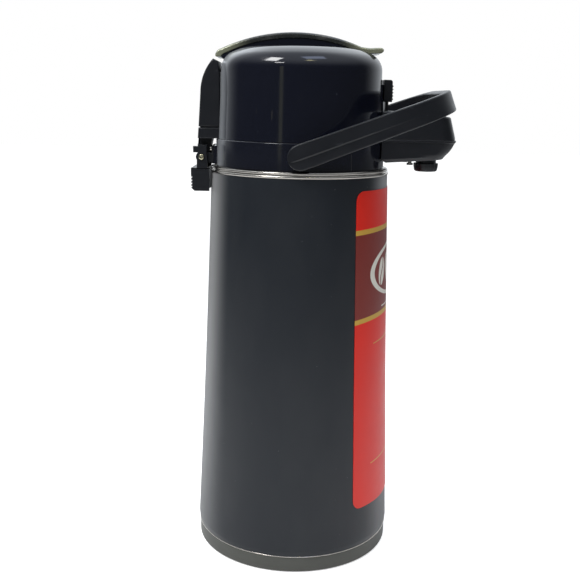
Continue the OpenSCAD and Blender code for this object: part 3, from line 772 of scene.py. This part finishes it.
def label_piece():
    """The label wraps the shell and stands its own thickness proud, with rounded corners."""
    z0, z1 = low("label").z, high("label").z
    corner = LABEL_CORNER_R
    ends = [corner * (1 - math.cos(math.pi / 2 * i / 8)) for i in range(9)]
    heights = [z0 + e for e in ends] + [z0 + corner + (z1 - z0 - 2 * corner) * i / 40 for i in range(1, 40)]
    heights += [z1 - e for e in reversed(ends)]
    columns = 60
    verts, faces = [], []
    for lift in (LABEL_THICK, 0.05):
        for z in heights:
            r = radius_at(SHELL, z)
            d = min(z - z0, z1 - z, corner)
            short = corner - math.sqrt(max(0.0, corner**2 - (corner - d) ** 2))
            w = LABEL_HALF_ANGLE - short / r
            for j in range(columns + 1):
                a = -w + 2 * w * j / columns
                verts.append(((r + lift) * math.cos(a), (r + lift) * math.sin(a), z))
    rows, width = len(heights), columns + 1
    layer = rows * width
    for i in range(rows - 1):
        for j in range(columns):
            a = i * width + j
            faces.append((a, a + 1, a + width + 1, a + width))
            faces.append((layer + a + width, layer + a + width + 1, layer + a + 1, layer + a))
    rim = list(range(width)) + [i * width + columns for i in range(1, rows)]
    rim += [(rows - 1) * width + j for j in range(columns - 1, -1, -1)]
    rim += [i * width for i in range(rows - 2, 0, -1)]
    for a, b in zip(rim, rim[1:] + rim[:1]):
        faces.append((a, a + layer, b + layer, b))
    piece("wrap_label", verts, faces, "pot", LOOKS["label"], ["label"])


# ---- collar and lid


def collar_piece():
    """The collar's wall, gutter and mouth tube, with a boss at each side and the hinge's pad."""
    z0, z1 = SHELL_TOP_Z + 6, COLLAR_TOP_Z
    wall, tube = COLLAR_R - 3, 33.5
    profile = (
        [(COLLAR_R, z0)] + arc(COLLAR_R - 0.8, z1 - 0.8, 0.8, 0, 90, 4)
        + [(wall, z1), (wall, z0 + 4), (tube, z0 + 2.4), (tube, z1 - 2.6), (MOUTH_R + 1.5, z1 - 2.6),
           (MOUTH_R, z1 - 5.6), (MOUTH_R, COLLAR_LOW_Z), (tube, COLLAR_LOW_Z), (tube, z0)]
    )
    boss_r, boss_y, round_r, stud_r = 8.2, 76.9, 0.8, 3.55
    boss = [(0, 66), (boss_r, 66), (boss_r, 75.2)]
    boss += arc(boss_r - round_r, boss_y - round_r, round_r, 0, 90, 4) + [(0, boss_y)]
    bosses = []
    for side in (1, -1):
        verts, faces = along_y(turned(boss, 64), BAIL_PIVOT.x, BAIL_PIVOT.z)
        bosses.append(([(x, side * y, z) for x, y, z in verts], faces))
    pad_x, pad_y = -low("collar").x, high("hinge_bracket").y
    root_x, pad_low, pad_top = -66.1, z0 + 0.8, z0 + 15.8
    pad = fillet([(-pad_x, pad_low), (root_x, pad_low), (root_x, pad_top), (-pad_x, pad_top)], 0.6)
    pad = side_slab(pad, -pad_y, pad_y)
    bores = [along_y(cylinder(stud_r, a, b), BAIL_PIVOT.x, BAIL_PIVOT.z) for a, b in ((60, 80), (-80, -60))]
    solid = carved(joined(*bosses), *bores)
    piece("collar_body", *joined(revolve(profile, 200), solid, pad), "pot", LOOKS["gloss_black"], ["collar"])


def dome_profile(depth, foot):
    """Half the dome's outline, from its foot to its crest, moved inward by depth."""
    r, top = high("lid_dome").x, high("lid_dome").z
    c, s = math.cos(math.radians(ROOF_ANGLE)), math.sin(math.radians(ROOF_ANGLE))
    draft, straight_part = 1.4, 24
    shoulder_x = r - draft - SHOULDER_R
    z = top - ROOF_R + (ROOF_R - SHOULDER_R) * s
    back = SHOULDER_R - ROOF_R
    points = [(0, foot), (r - depth, foot), (r - 1.2 - depth, z - straight_part)]
    points += arc(shoulder_x, z, SHOULDER_R - depth, 0, ROOF_ANGLE, 16)
    points += arc(shoulder_x + back * c, z + back * s, ROOF_R - depth, ROOF_ANGLE, 89, 12)[1:]
    return points + [(0, top - depth)]


def channel(half, drop):
    """The slot along the dome's top that the lever lies in, as a block."""
    c, t = math.cos(math.radians(CHANNEL_FALL)), math.sin(math.radians(CHANNEL_FALL))
    pin = centre("lever_pin")
    corners = [(-60, 0), (200, 0), (200, 90), (-60, 90)]
    outline = [(pin.x + u * c + v * t, CHANNEL_Z - drop - u * t + v * c) for u, v in corners]
    points = [(x, y, z) for y in (-half, half) for x, z in outline]
    return points, [(0, 1, 2, 3), (7, 6, 5, 4), (0, 4, 5, 1), (1, 5, 6, 2), (2, 6, 7, 3), (3, 7, 4, 0)]


def dome_piece():
    """The dome's shell, with the lever's channel, the plunger's hole and the latch's window."""
    half = STRAP_Y + CHANNEL_GAP
    hollow = turned(dome_profile(DOME_WALL, DOME_FOOT_Z - 2), 120)
    hollow = carved(hollow, channel(half + DOME_WALL, DOME_WALL))
    hole = cylinder(PLUNGER_HOLE_R, DOME_FOOT_Z + 30, DOME_FOOT_Z + 90)
    window_low, window_top, window_y = 378.5, 383.5, 7
    window = [(64, window_low), (76, window_low), (76, window_top), (64, window_top)]
    window = side_slab(window, -window_y, window_y, 0.2)
    shape = carved(turned(dome_profile(0, DOME_FOOT_Z), 240), hollow, channel(half, 0), hole, window)
    piece("lid_shell", *shape, "lid", LOOKS["gloss_black"], ["lid_dome"], crease=40)


def pumped(obj):
    """Gives the piece a mesh of its own."""
    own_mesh(obj)


def pump_pieces():
    """The rubber bellows and the coil spring inside it."""
    z0, z1 = low("bellows").z, high("bellows").z
    out, folds, wall = high("bellows").x, 6, 1.6
    step = (z1 - z0) / folds
    fold = [(0, out - 6), (0.12, out - 5.6), (0.42, out - 0.4), (0.5, out), (0.58, out - 0.4)]
    fold.append((0.88, out - 5.6))
    skin = []
    for i in range(folds):
        for share, r in fold:
            skin.append((r, z0 + step * (i + share)))
    skin.append((out - 6, z1))
    bellows = revolve(skin + [(r - wall, z) for r, z in reversed(skin)], 96)
    pumped(piece("pump_bellows", *bellows, "lid", LOOKS["rubber"], ["bellows"], crease=60))
    wire, turns, steps = 1.0, 6, 24
    coil_r = high("pump_spring").x - wire
    z2, z3 = low("pump_spring").z + wire, high("pump_spring").z - wire
    rings = []
    for i in range(turns * steps + 1):
        a = 2 * math.pi * i / steps
        z = z2 + (z3 - z2) * i / (turns * steps)
        loop = arc(0, 0, wire, 0, 360 * 9 / 10, 9)
        rings.append([((coil_r + u) * math.cos(a), (coil_r + u) * math.sin(a), z + v) for u, v in loop])
    coil = piece("pump_coil", *loft(rings), "lid", LOOKS["stainless"], ["pump_spring"], crease=60)
    pumped(coil)


def spine_piece():
    """The strap down the back of the lid, with a shadow groove round it and the knuckle at its foot."""
    foot, front, back = DOME_FOOT_Z, -66.5, HINGE.x - 3
    groove_low, groove_top, depth = 366.4, 367.3, 1.3
    tail = [(front, foot), (front, groove_low), (back + 0.5, groove_low), (back, foot)]
    crown = arc(-42.5, 395, 40.5, 138, 180, 14)
    strap = [(front, groove_top), (front, 411), (-67.6, 415), (-68.4, 420.2)] + crown
    strap.append((back + 0.55, groove_top))
    core = [(front, foot + 2), (front, 372), (back + depth + 0.6, 372), (back + depth + 0.4, foot + 2)]
    parts = [side_slab(tail, -STRAP_Y, STRAP_Y, 0.8), side_slab(strap, -STRAP_Y, STRAP_Y, 1.5)]
    parts.append(side_slab(core, depth - STRAP_Y, STRAP_Y - depth, 0.1))
    knuckle_y = 10
    parts.append(side_slab(face_outline("lid_spine", knuckle_y), -knuckle_y, knuckle_y, 0.4))
    piece("lid_strap", *joined(*parts), "lid", LOOKS["satin_black"], ["lid_spine"], crease=40)


def latch_piece():
    """The latch: a ribbed head on a narrower blade."""
    half = high("latch").y
    head = side_slab(face_outline("latch", half), -half, half, 0.5)
    blade_half = half - 2
    blade = side_slab(face_outline("latch", blade_half), -blade_half, blade_half, 0.35)
    piece("latch_body", *joined(head, blade), "latch", LOOKS["satin_black"], ["latch"], crease=40)


def release_piece():
    """The lever at the hinge: two cheeks and a grooved finger tab."""
    half = high("release_lever").y
    cheek = face_outline("release_lever", half)
    tab_top, cheek_wall, body_r = 333.0, 3.5, 77.9
    tab = side_slab(below(cheek, tab_top), -half, half, 0.5)
    tab = carved(tab, cylinder(body_r, 300, 345, 160))
    cheeks = both_sides(above(cheek, tab_top - 0.5), half - cheek_wall, half, 0.5)
    piece("release_body", *joined(tab, cheeks), "release", LOOKS["satin_black"], ["release_lever"], crease=40)


def hinge_pieces():
    """The bracket's two ears, and the pin with its rounded ends."""
    ear = high("hinge_bracket").y
    ears = both_sides(face_outline("hinge_bracket", ear), 10.3, ear, 0.5)
    piece("hinge_ears", *ears, "pot", LOOKS["satin_black"], ["hinge_bracket"], crease=40)
    r, end = 2.4, high("hinge_pin").y
    half = [(0, 0), (r, 0), (r, end - 1.0)] + arc(r - 0.9, end - 0.9, 0.9, 10, 80, 4)
    half += [(0.9, end), (0, end - 0.35)]
    whole = [(a, -b) for a, b in reversed(half[2:])] + half[2:]
    pin = along_y(turned(whole, 48), HINGE.x, HINGE.z)
    piece("hinge_rod", *pin, "pot", LOOKS["pin_metal"], ["hinge_pin"])


# ---- lever


def cap_piece():
    """The cap: a crowned strip along the lever's arch, turned down behind and flattened to a lip in front."""
    cx, r = -5.0, 143.0
    cz = high("lever_trim").z - 1.1 - r
    thick = 4.6
    front, rear = math.degrees(math.acos((48 - cx) / r)), 115.3

    def on_arch(a, depth):
        return cx + (r - depth) * math.cos(math.radians(a)), cz + (r - depth) * math.sin(math.radians(a))

    tip_x = high("lever_trim").x
    lip_z = cz + 130.3
    back = [((-70.5, 424.0), (-70.0, 423.6), 0), ((-70.8, 425.2), (-68.4, 423.6), 0),
            ((-70.2, 426.8), (-66.6, 423.6), 0.1), ((-69.2, 428.1), (-65.9, 424.2), 0.3),
            ((-67.8, 429.3), (-65.0, 425.1), 0.7)]
    middle = []
    for i in range(33):
        a = rear + (front - rear) * i / 32
        crown = min(1.0, 0.85 + i / 8) if i < 26 else 1.0 - (i - 26) / 9
        middle.append((on_arch(a, 0.2), on_arch(a, thick), crown))
    nose = [((52, lip_z + 1.75), (50.5, lip_z - 2.7), 0.25), ((56, lip_z + 1.5), (55, lip_z - 3.1), 0.15),
            ((61.4, lip_z + 1.9), (61.4, lip_z - 2.7), 0.1)]
    for back_off, rise, drop in ((1.6, 1.9, 2.3), (0.5, 1.3, 1.5), (0, 0.3, 0.6)):
        nose.append(((tip_x - back_off, lip_z + rise), (tip_x - back_off, lip_z - drop), 0))
    rings = []
    for top, under, crown in back + middle + nose:
        t, u = Vector(top), Vector(under)
        up = (t - u).normalized()
        depth = (t - u).length
        soft = min(1.5, 0.45 * depth)
        loop = []
        for i in range(13):
            y = (STRAP_Y - soft) * (i / 6 - 1)
            lift = crown * 1.1 * (1 - (y / STRAP_Y) ** 2)
            loop.append((y, lift + 0.2 * crown))
        shoulder = [(STRAP_Y - soft + soft * math.sin(q), -soft * (1 - math.cos(q))) for q in (0.5, 1.0, 1.57)]
        under_edge = [(STRAP_Y, -depth + 0.5), (STRAP_Y - 0.5, -depth)]
        right = shoulder + under_edge
        loop += right + [(-y, v) for y, v in reversed(right)]
        rings.append([(t.x + up.x * v, y, t.y + up.y * v) for y, v in loop])
    piece("lever_cap", *loft(rings), "lever", LOOKS["lever_trim"], ["lever_trim"], crease=40)


# ---- spout


def spout_plan(tip, slot_x=None, rear_r=71.4):
    """The spout in plan. slot_x is where the slot behind it, which the latch stands in, ends."""
    root_y, tip_y, tip_r, slot_y = 27.0, 23.0, 14.0, 10.5
    right = [(math.sqrt(rear_r**2 - y * y), -y) for y in (slot_y, 14, 18, 22, root_y)]
    if slot_x:
        right = [(slot_x, 0), (slot_x, -slot_y)] + right
    else:
        right = [(math.sqrt(rear_r**2 - y * y), -y) for y in (0, 5)] + right
    right += [(84, -26.3), (100, -24.6)]
    right += [(tip - tip_r + x, -tip_y + tip_r - y) for y, x in arc(0, 0, tip_r, 5, 90, 10)]
    right += [(tip, -3)]
    left = [(x, -y) for x, y in reversed(right) if y < 0]
    return anticlockwise(right + left)


def straight(points, x):
    """Height at x on a line through points of (x, z)."""
    for (x0, z0), (x1, z1) in zip(points, points[1:]):
        if x <= x1:
            return z0 + (z1 - z0) * (x - x0) / (x1 - x0)
    return points[-1][1]


def spout_upper():
    """The spout's lid, with a slot behind for the latch and a roof that falls toward its tip."""
    rear_r, slot_x, lean, edge, steps = 71.9, 80, 4.0, 2.2, 5
    tip = high("spout_upper_cover").x
    top = high("spout_upper_cover").z
    roof = [(60, top), (96, top - 1.5), (tip - 5, top - 4.6), (tip + 1, top - 7)]
    rings = []
    for lift, shrink in ((0.0, 0.25), (0.35, 0.0), (2.0, 0.0)):
        loop = inset(spout_plan(tip, slot_x, rear_r), shrink)
        rings.append([(x, y, SPLIT_Z + lift) for x, y in loop])
    for k in range(steps + 1):
        t = math.pi / 2 * k / steps
        loop = inset(spout_plan(tip - lean, slot_x, rear_r), edge * (1 - math.cos(t)))
        drop = edge * (1 - math.sin(t))
        rings.append([(x, y, straight(roof, x) - drop) for x, y in loop])
    piece("spout_top_shell", *loft(rings), "pot", LOOKS["satin_black"], ["spout_upper_cover"])


def spout_lower():
    """The spout's tray, whose chin runs back and down to a flat floor."""
    tip = high("spout_lower_cover").x
    floor_z = low("spout_lower_cover").z
    floor = [(60, floor_z - 0.4), (102, floor_z + 2.2), (tip - 12, floor_z + 3.1), (tip, floor_z + 4)]
    rings = []
    for drop, shrink in ((0.15, 0.5), (0.5, 0.15), (1.0, 0.0), (1.7, 0.1), (2.1, 0.7)):
        loop = inset(spout_plan(tip), shrink)
        rings.append([(x, y, SPLIT_Z - drop) for x, y in loop])
    chamfer, chin_back, chin_z = 3.0, 7.6, SPLIT_Z - 2.3
    for share, back in ((0.12, 0.9), (0.35, 2.0), (0.6, 3.6), (0.8, 5.4), (1.0, chin_back)):
        loop = inset(spout_plan(tip - back), 0.7)
        rings.append([(x, y, chin_z * (1 - share) + (straight(floor, x) + chamfer) * share) for x, y in loop])
    for lift, shrink in ((0.45, 2.9), (0.1, 3.5), (0.0, 4.4)):
        loop = inset(spout_plan(tip - chin_back), shrink)
        rings.append([(x, y, straight(floor, x) + lift) for x, y in loop])
    piece("spout_bottom_shell", *loft(rings), "pot", LOOKS["satin_black"], ["spout_lower_cover"])


def nozzle_piece():
    """The drip nozzle: a fluted skirt round a straight bore."""
    z0 = low("nozzle").z
    r = (high("nozzle").x - low("nozzle").x) / 2
    bore, neck_r = 6.0, 8.6
    profile = [(bore, z0 + 20), (bore, z0 + 0.8), (bore + 0.8, z0), (r - 2.2, z0), (r - 1.2, z0 + 0.5),
               (r - 0.7, z0 + 1.6), (r - 0.3, z0 + 4), (r, z0 + 6.6), (r - 0.4, z0 + 7)]
    profile += [(neck_r, z0 + 7), (neck_r, z0 + 20)]

    def flutes(radius, z, a):
        if radius < r - 1.3 or z > z0 + 6.7:
            return radius
        return radius - 0.55 * max(0.0, math.cos(8 * a)) ** 3

    verts, faces = revolve(profile, 96, flutes)
    verts = [(NOZZLE.x + x, y, z) for x, y, z in verts]
    piece("drip_nozzle", verts, faces, "pot", LOOKS["satin_black"], ["nozzle"])


# ---- bail handle


def bail_stations():
    """Plan points along half of the bail, from its pivot end to the middle of the grip.

    Each is (inner point, outer point, half-height), drawn in the bail's own level plane.
    """
    reach = BAIL_REACH
    out_y, in_y = high("bail_handle").y, high("bail_handle").y - 4.6
    corner_y, corner_r, thick = 38.0, 40.0, 7.0
    arm, nose = 10.2, 8.3
    stations = []
    for a in (88, 80, 68, 55, 42, 30, 18, 6):
        x = -arm * math.sin(math.radians(a))
        stations.append(((x, in_y), (x, out_y), arm * math.cos(math.radians(a))))
    for x in (0, 5, 10):
        stations.append(((x, in_y), (x, out_y), arm))
    centre_x = reach - corner_r
    for i in range(1, 9):
        t = i / 9
        x = 10 + (centre_x - 10) * t
        inner = in_y + (corner_y + corner_r - thick - in_y) * t
        outer = out_y + (corner_y + corner_r - out_y) * t
        stations.append(((x, inner), (x, outer), None))
    for i in range(17):
        a = math.radians(90 - 90 * i / 16)
        c, s = math.cos(a), math.sin(a)
        inner = (centre_x + (corner_r - thick) * c, corner_y + (corner_r - thick) * s)
        outer = (centre_x + corner_r * c, corner_y + corner_r * s)
        stations.append((inner, outer, None))
    for y in (30, 20, 10, 0):
        stations.append(((reach - thick, y), (reach, y), None))
    return [(p, q, h if h else arm + (nose - arm) * max(0, (p[0] + q[0]) / 2) / reach) for p, q, h in stations]


def bail_section(inner, outer, half):
    """The bail's cross-section: rounded corners and a lower face set back behind a ridge."""
    p, q = Vector(inner), Vector(outer)
    out = (q - p).normalized()
    thick = (q - p).length
    round_r = min(1.3, 0.45 * half)
    x = (p.x + q.x) / 2
    fade = max(0.0, min(1.0, (96 - x) / 40))
    step = min(0.8, 0.5 * half) * fade
    ridge = -0.12 * half
    w = thick - step
    loop = arc(round_r, -half + round_r, round_r, 180, 270, 4)
    loop += arc(w - round_r, -half + round_r, round_r, 270, 360, 4)
    loop += [(w, ridge - 0.08 * half), (w + 0.35 * step, ridge - 0.04 * half), (thick, ridge + 0.04 * half)]
    loop += arc(thick - round_r, half - round_r, round_r, 0, 90, 4)
    loop += arc(round_r, half - round_r, round_r, 90, 180, 4)
    return [(p.x + out.x * u, p.y + out.y * u, v) for u, v in loop]


def tipped(points):
    """From the bail's own plane to its rest."""
    c, s = math.cos(BAIL_TILT), math.sin(BAIL_TILT)
    return [(BAIL_PIVOT.x + x * c - z * s, y, BAIL_PIVOT.z + x * s + z * c) for x, y, z in points]


def bail_piece():
    """The bail, with a socket at each end for its stud."""
    half = [bail_section(*s) for s in bail_stations()]
    other = [[(x, -y, z) for x, y, z in ring] for ring in reversed(half[:-1])]
    rings = [tipped(ring) for ring in half + other]
    deep, open_y = 74, 80.6
    sockets = []
    for a, b in ((deep, open_y), (-open_y, -deep)):
        sockets.append(along_y(cylinder(BAIL_STUD_HOLE_R, a, b), BAIL_PIVOT.x, BAIL_PIVOT.z))
    piece("bail_loop", *carved(loft(rings), *sockets), "bail", LOOKS["satin_black"], ["bail_handle"], crease=30)


shell_piece()
ring_piece()
base_piece()
label_piece()
spout_upper()
spout_lower()
nozzle_piece()
bail_piece()
collar_piece()
dome_piece()
pump_pieces()
spine_piece()
latch_piece()
release_piece()
hinge_pieces()
cap_piece()


# ---- stage, light and camera


def stage_floor():
    """Pale paper under the object. It glows to the camera only, so it lights nothing."""
    mesh = bpy.data.meshes.new("floor")
    size = 6.0
    corners = [(-size, -size, 0), (size, -size, 0), (size, size, 0), (-size, size, 0)]
    mesh.from_pydata(corners, [], [(0, 1, 2, 3)])
    floor = bpy.data.objects.new("floor", mesh)
    bpy.context.scene.collection.objects.link(floor)
    mat = bpy.data.materials.new("floor")
    mat.use_nodes = True
    tree = mat.node_tree
    shader = tree.nodes["Principled BSDF"]
    x, y, _ = place_xyz(tree)
    away = calc(tree, "SQRT", plus(tree, times(tree, x, x), times(tree, y, y)))
    far = band(tree, away, 0.35, 1.5, True)
    paper = mix(tree, noise(tree, 300), grey(0.80), grey(0.84))
    tree.links.new(mix(tree, far, paper, grey(0.12)), shader.inputs["Base Color"])
    shader.inputs["Roughness"].default_value = 0.8
    shader.inputs["Emission Color"].default_value = grey(1.0)
    seen = add(tree, "ShaderNodeLightPath").outputs["Is Camera Ray"]
    glow = plus(tree, 0.62, times(tree, far, 0.36))
    tree.links.new(times(tree, seen, glow), shader.inputs["Emission Strength"])
    mesh.materials.append(mat)


def room_light():
    """A pale room: bright behind the object and overhead, darker where the viewer stands."""
    world = bpy.data.worlds.new("room")
    bpy.context.scene.world = world
    world.use_nodes = True
    tree = world.node_tree
    tree.nodes.clear()
    where = add(tree, "ShaderNodeTexCoord").outputs["Generated"]
    split = add(tree, "ShaderNodeSeparateXYZ", {"Vector": where})
    back = band(tree, split.outputs[1], 0.05, 0.9, True)
    ceiling = band(tree, split.outputs[2], 0.25, 0.9, True)
    strength = plus(tree, 0.07, times(tree, back, 1.15))
    strength = plus(tree, strength, times(tree, ceiling, 0.75))
    dim = add(tree, "ShaderNodeBackground", {"Color": (0.90, 0.95, 1.0, 1), "Strength": strength})
    seen = add(tree, "ShaderNodeBackground", {"Color": (1.0, 1.0, 1.0, 1), "Strength": 1.0})
    camera_ray = add(tree, "ShaderNodeLightPath").outputs["Is Camera Ray"]
    both = add(tree, "ShaderNodeMixShader", {0: camera_ray, 1: dim.outputs[0], 2: seen.outputs[0]})
    out = add(tree, "ShaderNodeOutputWorld")
    tree.links.new(both.outputs[0], out.inputs[0])


def softbox(name, place, aim, width, height, power, tint=(1, 1, 1)):
    """A rectangular lamp that looks from a place at an aim, in metres and watts."""
    data = bpy.data.lights.new(name, "AREA")
    data.shape = "RECTANGLE"
    data.size, data.size_y = width, height
    data.energy = power
    data.color = tint
    lamp = bpy.data.objects.new(name, data)
    lamp.location = place
    lamp.rotation_euler = (Vector(aim) - Vector(place)).to_track_quat("-Z", "Y").to_euler()
    bpy.context.scene.collection.objects.link(lamp)
    return lamp


def studio_camera():
    """The main view, from in front and a little above."""
    data = bpy.data.cameras.new("camera")
    data.lens = 53.88
    data.sensor_width = 36.0
    camera = bpy.data.objects.new("camera", data)
    place = Matrix.Translation((-0.0061, -0.75, 0.3911))
    pitch = Matrix.Rotation(math.radians(90 - 12.42), 4, "X")
    roll = Matrix.Rotation(math.radians(1.11), 4, "Z")
    camera.matrix_world = place @ pitch @ roll
    bpy.context.scene.collection.objects.link(camera)
    bpy.context.scene.camera = camera


stage_floor()
room_light()
key = softbox("key", (-0.5, -0.9, 1.9), (0, 0, 0.25), 0.9, 0.9, 22)
key.visible_glossy = False
softbox("window", (-0.56, -0.48, 1.24), (0, 0, 0.42), 0.30, 0.36, 5.0)
softbox("window_sill", (-0.54, -0.86, 1.02), (0, 0, 0.42), 0.24, 0.05, 0.7)
softbox("sky", (0.20, -0.38, 1.30), (0, 0, 0.42), 0.38, 0.26, 0.9, (0.62, 0.72, 1.0))
softbox("doorway", (-0.93, -1.85, 0.52), (0, 0, 0.40), 0.17, 0.62, 0.17, (0.75, 0.75, 0.5))
softbox("warm_lamp", (0.15, -0.66, 1.14), (0, 0, 0.42), 0.14, 0.035, 0.25, (1.0, 0.92, 0.5))
studio_camera()
bpy.context.scene.view_settings.view_transform = "Standard"
